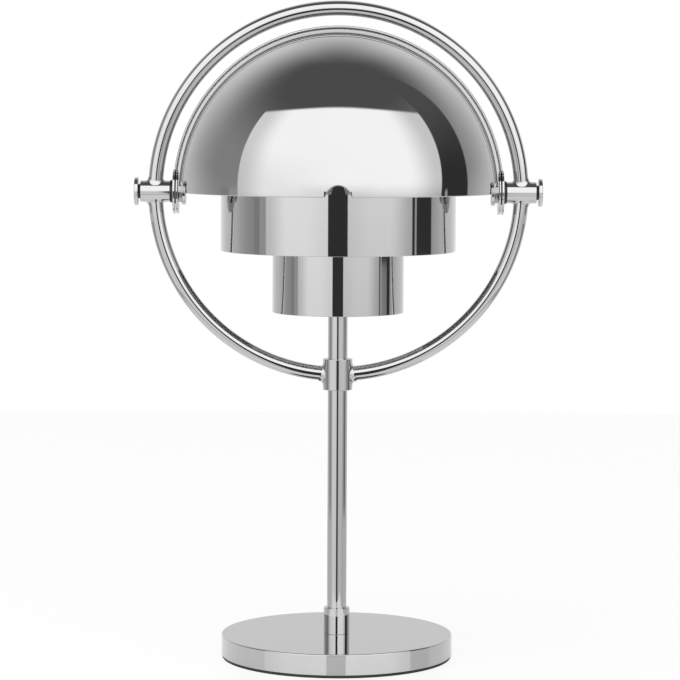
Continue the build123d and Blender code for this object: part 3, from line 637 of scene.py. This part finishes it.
# Moulded nylon, ivory: a soft sheen without grain lines
coat(grained("ivory_nylon", ("#D9D4C2", "#E2DDCD"), 1.0, (0.4, 0.5), 0.01), "lead_connector")
# Moulded black ABS: spark-eroded fine texture
black_abs = grained("textured_black_abs", ("#141415", "#1E1E20"), 0.35, (0.5, 0.65), 0.03)
coat(black_abs, "button_switch", "base_cover")
# Zinc-plated steel: bright, cool and slightly cloudy
zinc = grained("bright_zinc_plated_steel", ("#AEB2B8", "#BEC0C3"), 1.6, (0.2, 0.36), 0.004, metallic=1.0)
coat(zinc, "cover_screws", "board_screws", "stem_washer", "stem_nut")


# Collar and stem: a turned sleeve on the base and a straight drawn tube, both chrome plated.
# The tube goes up through the ring's socket into the light's hub and carries the whole head.
tube_chrome = chrome_plate("polished_chrome_drawn_tube", (1, 1, 30))
collar_low, collar_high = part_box("stem_collar")
low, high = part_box("stem_tube")
collar_break = 0.4 * mm
bore_break = 0.05 * mm
stem_radius = high.x
collar = bar_outline(stem_radius, collar_high.x, collar_low.z, collar_high.z,
                     [bore_break, collar_break / 2, collar_break, bore_break])
make_piece("stem_sleeve", "stem_collar", "chrome_stem", [turned(collar)], tube_chrome)
stem = round_corners([(0, low.z), (stem_thread_radius, low.z), (stem_thread_radius, collar_low.z),
                      (stem_radius, collar_low.z), (stem_radius, high.z), (0, high.z)], 0.1 * mm)
make_piece("stem", "stem_tube", "chrome_stem", [turned(stem)], tube_chrome)


# Ring socket: a turned sleeve locked on the stem, with the ring's two lower ends brazed into it.
# The ring itself is three lengths of 8 mm tube, bent to one circle and polished with their joints.
pivot_height = frame["joints"][0]["pos_m"][2]
low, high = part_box("ring_upper_tube")
tube_radius = high.y
ring_radius = high.z - tube_radius - pivot_height
ring_chrome = chrome_plate("polished_chrome_bent_tube", (12, 12, 12))


def ring_tube(start, end, steps):
    """Round tube along the ring, with closed ends. For angles a along the ring from +X upwards and b
    round the tube, the point is (R + r cos b)(cos a, 0, sin a) + r sin b (0, 1, 0) from the pivots."""
    along = np.radians(np.concatenate([[start], np.linspace(start, end, steps), [end]]))[:, None]
    size = np.array([0] + [tube_radius] * steps + [0])[:, None]
    around = np.linspace(0, 2 * pi, 32, endpoint=False)
    reach = ring_radius + size * np.cos(around)
    points = np.stack([reach * np.cos(along), size * np.sin(around) + 0 * along,
                       pivot_height + reach * np.sin(along)], -1)
    normals = np.stack([np.cos(around) * np.cos(along), np.sin(around) + 0 * along,
                        np.cos(around) * np.sin(along)], -1)
    return patch(points, normals, loop_columns=True)


def brazed(places, body, reach, rows=10, columns=48):
    """Fillets of braze round the ring's tube where it meets a round body, as closed rings.

    Each place is a matrix whose rows are the fillet's own X, Y and Z axes, and an origin. There the
    tube of radius r stands along Z on the body of radius R along X. For the angle a round the tube,
    the joint lies at x = r cos a and the angle asin(r sin a / R) round the body. The face is a
    quadratic curve from the tube, the reach above the joint, to the body, the reach outside it, with
    the joint as its control point. The back of the ring is sunk in the joint.
    """
    a = np.linspace(0, 2 * pi, columns, endpoint=False)
    around = np.stack([np.cos(a), np.sin(a), 0 * a], -1)
    bend = np.arcsin(tube_radius * np.sin(a) / body)
    joint = np.stack([tube_radius * np.cos(a), body * np.sin(bend), body * np.cos(bend)], -1)
    high_end = joint + (0, 0, reach)
    spread = bend + reach * np.sin(a) / body
    foot = (tube_radius + reach) * np.cos(a)
    low_end = np.stack([foot, body * np.sin(spread), body * np.cos(spread)], -1)
    s = np.linspace(0, 1, rows)[:, None, None]
    face = high_end * (1 - s) ** 2 + joint * 2 * s * (1 - s) + low_end * s ** 2
    downwards = (joint - high_end) * (1 - s) + (low_end - joint) * s
    normals = unit(np.cross(downwards, np.roll(face, -1, 1) - np.roll(face, 1, 1)))
    normals *= np.sign((normals[0] * around).sum())
    face = np.concatenate([face, joint[None] * 0.8])
    normals = np.concatenate([normals, -normals[:1]])
    return [patch(face @ axes + origin, normals @ axes, True, True) for axes, origin in places]


low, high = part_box("ring_socket")
socket_centre = (0, 0, low.z + 8.5 * mm)
socket = bar_outline(stem_radius, high.y, low.z, high.z, [bore_break, 0.4 * mm, 0.4 * mm, bore_break])
places = [(((0, 0, 1), (0, way, 0), (-way, 0, 0)), socket_centre) for way in (1, -1)]
make_piece("ring_socket_sleeve", "ring_socket", "chrome_ring",
           [turned(socket)] + brazed(places, high.y, 2.4 * mm), ring_chrome)

# How far short of the centre lines of the pivots and the socket the tubes end, in degrees
barrel_end = 2.15
socket_end = 3.5
arcs = {"upper": (barrel_end, 180 - barrel_end, 181), "left": (180 + barrel_end, 270 - socket_end, 91),
        "right": (270 + socket_end, 360 - barrel_end, 91)}
for side, arc in arcs.items():
    make_piece(side + "_ring_tube", "ring_" + side + "_tube", "chrome_ring", [ring_tube(*arc)], ring_chrome)


# Pivots: a turned barrel brazed into each side of the ring, and on it a bolt with a disc cap, black
# nylon washers on both sides of the shades' ears, a thin nut and a smaller cap that hides its end.

# Moulded nylon, black: a soft sheen and hardly any grain
washer_nylon = grained("black_nylon_washer", ("#0E0E10", "#1B1B1E"), 0.6, 0.45, detail=2.0, ior=1.53)
pivot_centre = (0, 0, pivot_height)
bolt_radius = 3.0 * mm
cap_length = 2.2 * mm
cap_break = 0.5 * mm
neck_length = 1.0 * mm
neck_radius = bolt_radius + 0.85 * mm
small_break = 0.1 * mm
nut_half_flats = 5.0 * mm


def hexagon_nut(near, far, outward):
    """Hexagonal nut on the pivot axis, with its corners chamfered towards both faces.

    At the angle a its side lies at nut_half_flats / cos(b), where b is the angle from the middle of the
    flat. The faces drop by a third of what a corner lies beyond the chamfer's circle.
    """
    a = np.linspace(0, 2 * pi, 96, endpoint=False)
    b = (a + pi / 6) % (pi / 3) - pi / 6
    edge = nut_half_flats / np.cos(b)
    drop = np.maximum(edge - nut_half_flats * 1.01, 0) / 3 + small_break
    bore = np.full_like(a, bolt_radius)
    inset = edge - small_break
    face = np.minimum(inset, nut_half_flats * 0.97)
    reach = [bore, bore, face, inset, edge, edge, inset, face, bore, bore]
    along = [near + 0 * a] * 3 + [near + drop * 0.7, near + drop * 1.4, far - drop * 1.4, far - drop * 0.7]
    along += [far + 0 * a] * 3
    middle = a - b
    spoke = np.stack([0 * a, np.cos(a), np.sin(a)], -1)
    flat = np.stack([0 * a, np.cos(middle), np.sin(middle)], -1)
    inward = 0 * spoke - outward
    slant = unit(inward + flat)
    normals = [-spoke, inward, inward, slant, flat, flat, unit(flat - inward), -inward, -inward, -spoke]
    points = [x[:, None] * outward + spoke * r[:, None] for x, r in zip(along, reach)]
    return patch(np.stack(points) + pivot_centre, np.stack(normals), True, True)


def span(node):
    """Where along the pivot axis a node starts and ends, and its radius."""
    low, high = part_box(node)
    near, far = sorted((abs(low.x), abs(high.x)))
    return near, far, high.y


for side, name in ((-1, "left"), (1, "right")):
    outward = (side, 0, 0)
    near, far, radius = span(name + "_pivot_barrel")
    barrel = bar_outline(bolt_radius, radius, near, far, [bore_break, 0.45 * mm, 0.45 * mm, bore_break])
    ring_end = (side * ring_radius, 0, pivot_height)
    places = [(((1, 0, 0), (0, way, 0), (0, 0, way)), ring_end) for way in (1, -1)]
    make_piece(name + "_barrel", name + "_pivot_barrel", "chrome_ring",
               [turned(barrel, pivot_centre, outward, 64)] + brazed(places, radius, 2.0 * mm), ring_chrome)

    near, far, radius = span(name + "_pivot_bolt")
    cap_start = far - cap_length
    neck_start = cap_start - neck_length
    bolt = round_corners(
        [(0, near), (bolt_radius, near), (bolt_radius, neck_start), (neck_radius, neck_start),
         (neck_radius, cap_start), (radius, cap_start), (radius, far), (0, far)],
        [0] + [small_break] * 4 + [cap_break] * 2 + [0])
    # The neck is black from its own first corner to the cap's back
    neck_paint = np.zeros(len(bolt[0]), int)
    neck_paint[2 * arc_points:4 * arc_points] = 1
    make_piece(name + "_bolt", name + "_pivot_bolt", "chrome_bolts",
               [turned(bolt, pivot_centre, outward, 64, neck_paint)], ring_chrome, washer_nylon)

    for node in (name + "_outer_washer", name + "_middle_washer"):
        near, far, radius = span(node)
        washer = bar_outline(bolt_radius, radius, near, far, min(0.15 * mm, (far - near) / 4))
        make_piece(node + "_disc", node, "pivot_washers", [turned(washer, pivot_centre, outward, 64)],
                   washer_nylon)

    near, far, radius = span(name + "_inner_cap")
    cap = bar_outline(0, radius, near, far, 0.4 * mm)
    make_piece(name + "_end_cap", name + "_inner_cap", "chrome_bolts",
               [turned(cap, pivot_centre, outward, 64)], ring_chrome)
    near, far, radius = span(name + "_pivot_nut")
    make_piece(name + "_nut", name + "_pivot_nut", "plain_steel",
               [hexagon_nut(near, far, outward)], zinc)


# Shades: two quarter spheres spun from 1 mm steel, chrome outside and white lacquer inside, with a
# round ear at each end for the pivot bolt. Each has a notch in its level rim that clears the stem.
shade_chrome = chrome_plate("polished_chrome_spun_steel", (30, 30, 30))
# Baked lacquer, sprayed: white, half gloss, with a faint orange peel
lacquer = grained("white_baked_lacquer", ("#E9E8E4", "#F1F0ED"), 1.2, 0.38, 0.04, 0.12, 2.0)
ear_radius = 12.0 * mm
ear_thickness = 1.2 * mm
ear_inset = 0.3 * mm  # from the sphere to the ear's outer face
shell_start = 11.0 * mm
notch_half = 6.0 * mm
notch_height = 6.0 * mm
notch_flare = 1.7 * mm


def rim_outline():
    """Places along a shade's rim, as (x, height) from the right ear to the left one.

    The rim is level except for the notch: a flare of a quarter circle, an arch through its top,
    and the other flare.
    """
    arch_rise = notch_height - notch_flare
    arch = (notch_half ** 2 + arch_rise ** 2) / (2 * arch_rise)
    half_turn = asin(notch_half / arch)
    swing = np.linspace(0, half_turn, 20)
    arch_side = np.stack([arch * np.sin(swing), notch_height - arch + arch * np.cos(swing)], -1)
    bend = np.linspace(0, pi / 2, 10)[1:]
    flare = np.stack([notch_half + notch_flare - notch_flare * np.cos(bend),
                      notch_flare - notch_flare * np.sin(bend)], -1)
    half = np.vstack([arch_side, flare])
    return np.vstack([half[::-1], half[1:] * (-1, 1)])


def shade_patches(radius, facing, sheet):
    """A quarter of a spherical shell with rounded edges, its two ends and its two ears.

    A direction on the sphere has an angle a from the pivot axis and b from the level rim up to the
    top: (cos a, facing * sin a cos b, sin a sin b). Each column of the grid goes up the outer face,
    round the top edge, down the inner face and round the rim, both edges a half circle of the
    sheet's thickness.
    """
    middle = radius - sheet / 2
    end = asin(shell_start / middle)
    notch = rim_outline()
    near_notch = acos(notch[0, 0] / middle)
    spread = np.linspace(end, near_notch, 60)[:-1]
    a = np.concatenate([spread, np.arccos(notch[:, 0] / middle), pi - spread[::-1]])
    b = np.arcsin(np.pad(notch[:, 1], len(spread)) / (middle * np.sin(a)))

    def ball(a, b):
        return np.stack([np.cos(a) + 0 * b, facing * np.sin(a) * np.cos(b), np.sin(a) * np.sin(b)], -1)

    rim = middle * ball(a, b)
    top = middle * ball(a, np.full(len(a), pi / 2))
    along = unit(np.gradient(rim, axis=0))
    rim_out = unit(np.cross(along, unit(rim)))
    rim_out *= np.where(rim_out[:, 2:] > 0, -1, 1)
    top_out = np.broadcast_to([0.0, -facing, 0.0], top.shape)
    rim_line = middle * unit(rim - rim_out * sheet / 2)
    top_line = middle * unit(top - top_out * sheet / 2)
    steps = np.linspace(0, 1, 64)[:, None]
    a_low, a_high = np.arccos(rim_line[:, 0] / middle), np.arccos(top_line[:, 0] / middle)
    b_low = np.arctan2(rim_line[:, 2], facing * rim_line[:, 1])
    b_high = np.arctan2(top_line[:, 2], facing * top_line[:, 1])
    face = ball(a_low + (a_high - a_low) * steps, b_low + (b_high - b_low) * steps)
    swing = np.linspace(0, pi, 9)[1:-1, None, None]
    top_edge = np.cos(swing) * unit(top_line) + np.sin(swing) * top_out
    rim_edge = -np.cos(swing) * unit(rim_line) + np.sin(swing) * rim_out
    points = np.concatenate([radius * face, top_line + sheet / 2 * top_edge, (radius - sheet) * face[::-1],
                             rim_line + sheet / 2 * rim_edge])
    normals = np.concatenate([face, top_edge, -face[::-1], rim_edge])
    paint = np.zeros(len(points), int)
    paint[len(face) + len(top_edge):len(face) * 2 + len(top_edge) - 1] = 1
    spine = np.concatenate([middle * face, np.broadcast_to(top_line, top_edge.shape), middle * face[::-1],
                            np.broadcast_to(rim_line, rim_edge.shape)])
    shell = patch(points + pivot_centre, normals, loop_rows=True, paint=paint)
    ends = []
    for column, side in ((0, 1), (-1, -1)):
        cap = np.stack([points[:, column], spine[:, column]], 1)
        way = np.broadcast_to([side, 0.0, 0.0], cap.shape)
        ends.append(patch(cap + pivot_centre, way, loop_rows=True))
    face_end = radius - ear_inset
    ear = bar_outline(bolt_radius + fit_gap, ear_radius, face_end - ear_thickness, face_end, 0.25 * mm)
    ears = [turned(ear, pivot_centre, (side, 0, 0)) for side in (-1, 1)]
    return [shell] + ends + ears


for node, facing, sheet in (("front_shade", -1, 1.0 * mm), ("back_shade", 1, 1.4 * mm)):
    low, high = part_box(node)
    radius = high.z - pivot_height
    make_piece(node + "_spinning", node, "chrome_shades", shade_patches(radius, facing, sheet),
               shade_chrome, lacquer, body=node)


# Cylinders round the light: two open sleeves rolled from 0.8 mm sheet, chrome outside and white
# lacquer inside, with both rims rounded.
cylinder_wall = 0.8 * mm
for node in ("wide_cylinder", "narrow_cylinder"):
    low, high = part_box(node)
    sleeve = round_corners([(high.x, low.z), (high.x, high.z), (high.x - cylinder_wall, high.z),
                            (high.x - cylinder_wall, low.z)], 0.3 * mm)
    inside = np.zeros(len(sleeve[0]), int)
    inside[3 * arc_points - 1] = 1
    make_piece(node.replace("cylinder", "sleeve"), node, "chrome_cylinders",
               [turned(sleeve, count=192, paint=inside)], tube_chrome, lacquer)


# Carrier of the light: a cast flange and hub on the top of the stem, with three arms whose turned-up
# tabs hold the cylinders through short spacers. It has a white powder coat.

# Powder coat on cast zinc: an even white with a fine soft grain
carrier_paint = grained("white_powder_coat", ("#E2E1DC", "#ECEBE7"), 0.6, (0.45, 0.6), 0.02)
coat(carrier_paint, "cylinder_spacers")
coat(zinc, "spacer_screws", "hub_grub_screw", "socket_grub_screw")
# Extruded plastic sheath of the lead: a dull even grey
coat(grained("grey_flexible_sheath", ("#6E6F71", "#7B7C7E"), 1.5, (0.4, 0.5), 0.01), "stem_lead")
flange_lip = 2.0 * mm
flange_thickness = 3.0 * mm
hub_radius = 8.0 * mm
arm_half_width = 4.5 * mm
arm_edge = 0.35 * mm
tab_thickness = 2.2 * mm
low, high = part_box("carrier_spider")
diffuser_low, diffuser_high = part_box("diffuser")
flange_radius = diffuser_high.x + flange_lip
flange_top = diffuser_low.z
flange_bottom = flange_top - flange_thickness
stem_bore = 3.0 * mm
stem_top = flange_bottom - 1.0 * mm
arm_root = flange_radius - 1.0 * mm
arm_tip = high.y
tab_face = arm_tip - tab_thickness
hub = round_corners(
    [(stem_radius, low.z), (hub_radius, low.z), (hub_radius, flange_bottom),
     (flange_radius, flange_bottom), (flange_radius, flange_top), (stem_bore, flange_top),
     (stem_bore, stem_top), (stem_radius, stem_top)],
    np.array([0.2, 0.5, 1.5, 0.5, 0.5, 0.2, 0.1, 0.1]) * mm)
arm_line, arm_out = round_corners(
    [(arm_root, flange_bottom), (arm_tip, flange_bottom), (arm_tip, high.z), (tab_face, high.z),
     (tab_face, flange_top), (arm_root, flange_top)],
    np.array([0.3, 1.2, 0.6, 0.6, 1.0, 0.3]) * mm)


def carrier_arm(angle):
    """One arm: its outline of (radius, height) pushed sideways, then turned about the stem. The tab's
    outer face follows the cylinder that it is screwed to."""
    knee = ((tab_face + arm_tip) / 2, (flange_bottom + flange_top) / 2)
    matrix = ((cos(angle), sin(angle), 0), (-sin(angle), cos(angle), 0), (0, 0, 1))
    moved = []
    far = edge_steps(arm_half_width, arm_edge, 4)
    near = [(-y, set_off, -a) for y, set_off, a in far[::-1]]
    inner = arm_line - arm_out * arm_edge
    arm = [extruded(arm_line, arm_out, near + far), end_face(inner, -arm_half_width, -1, knee),
           end_face(inner, arm_half_width, 1, knee)]
    for flat, sense, quads, paint in arm:
        reach = np.minimum(flat[:, 0], np.sqrt(np.maximum(arm_tip ** 2 - flat[:, 1] ** 2, 0)))
        moved.append((np.column_stack([reach, flat[:, 1:]]) @ matrix, sense @ matrix, quads, paint))
    return moved


arms = [part for turn_of_arm in (90, 210, 330) for part in carrier_arm(radians(turn_of_arm))]
make_piece("light_carrier", "carrier_spider", "carrier_paint", [turned(hub, count=128)] + arms,
           carrier_paint)


# Light: a hexagonal aluminium core with strips of diodes, under an opal acrylic dome that a small
# chrome finial holds down. The lamp is switched off, as in the photograph.

# Extruded aluminium: bright and dull, drawn out in fine lines along its length
coat(grained("extruded_aluminium", ("#C4C6C8", "#D2D3D4"), 0.4, (0.3, 0.45), 0.01, metallic=1.0,
             stretch=(1, 1, 60)), "led_core")
# White solder mask on the diodes' strips: clean and half matt
coat(grained("white_solder_mask", ("#E6E7E4", "#F0F0EE"), 0.8, (0.35, 0.45), 0.005), "led_boards")
# Opal acrylic, blown: a clouded white that light sinks into a little
opal = grained("opal_acrylic", ("#EFEEEA", "#F6F5F2"), 9, 0.3, detail=2.0, ior=1.49,
               more={"Subsurface Weight": 0.4, "Subsurface Radius": (1.0, 0.95, 0.9),
                     "Subsurface Scale": 2.0 * mm})
diffuser_radius = diffuser_high.x
diffuser_wall = 1.6 * mm
diffuser_crown = 8.0 * mm
stud_radius = 2.5 * mm


def crowned(radius, top):
    """Points and normals of a domed outline, from the flange up to the stud's hole.

    The crown is part of a sphere of radius (r^2 + c^2) / 2c for the radius r and the crown c.
    """
    ball = (radius ** 2 + diffuser_crown ** 2) / (2 * diffuser_crown)
    swing = np.linspace(asin(radius / ball), asin(stud_radius / ball), 40)
    points = np.stack([ball * np.sin(swing), top - ball + ball * np.cos(swing)], -1)
    normals = np.stack([np.sin(swing), np.cos(swing)], -1)
    points = np.vstack([(radius, flange_top), (radius, points[0, 1] - 0.4 * mm), points[1:]])
    return points, np.vstack([(1, 0), (1, 0), normals[1:]])


outer_line, outer_sense = crowned(diffuser_radius, diffuser_high.z)
inner_line, inner_sense = crowned(diffuser_radius - diffuser_wall, diffuser_high.z - diffuser_wall)
dome = (np.vstack([outer_line, inner_line[::-1]]), np.vstack([outer_sense, -inner_sense[::-1]]))
make_piece("opal_dome", "diffuser", "opal_acrylic", [turned(dome, count=128)], opal)

low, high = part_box("diffuser_finial")
finial = bar_outline(0, high.x, low.z, high.z, [0, 0.3 * mm, 0.6 * mm, 0])
make_piece("finial_nut", "diffuser_finial", "chrome_bolts", [turned(finial)], tube_chrome)
